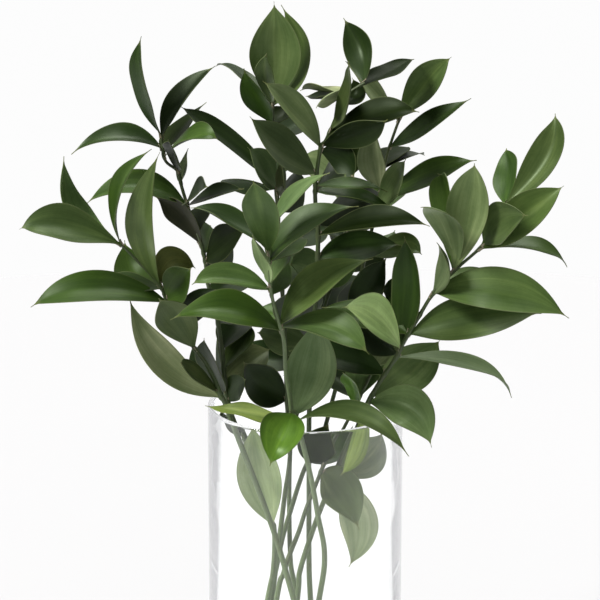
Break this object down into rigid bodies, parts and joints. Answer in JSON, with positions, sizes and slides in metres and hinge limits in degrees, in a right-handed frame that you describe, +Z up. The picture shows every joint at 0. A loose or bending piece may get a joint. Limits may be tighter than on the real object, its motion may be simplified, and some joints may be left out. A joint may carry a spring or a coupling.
{
  "type": "ruscus stems in a glass vase",
  "caption": "Leafy ruscus stems with glossy pointed leaves, standing in a clear glass cylinder vase.",
  "frame": {"origin": "middle of the vase's underside, on the surface that it stands on", "axes": "+Z up along the vase's axis, +X to the right seen from the front, -Y towards the front"},
  "size_m": [0.411, 0.3244, 0.5915],
  "materials": {
    "clear_glass": "clear polished glass with a fire-rounded rim",
    "leaf": "leathery dark green leaf, semi-gloss, with fine lengthwise veins",
    "stem": "smooth grey-green stalk with dry papery bracts at the nodes"
  },
  "bodies": {
    "root": {"glass_vase": "clear_glass", "stem_front": "leaf", "stem_left_low": "leaf", "stem_right": "leaf", "stem_left_high": "leaf", "stem_low": "leaf", "stem_centre": "leaf", "stem_right_top": "leaf", "stem_top": "leaf", "stem_back": "leaf"}
  },
  "joints": []
}
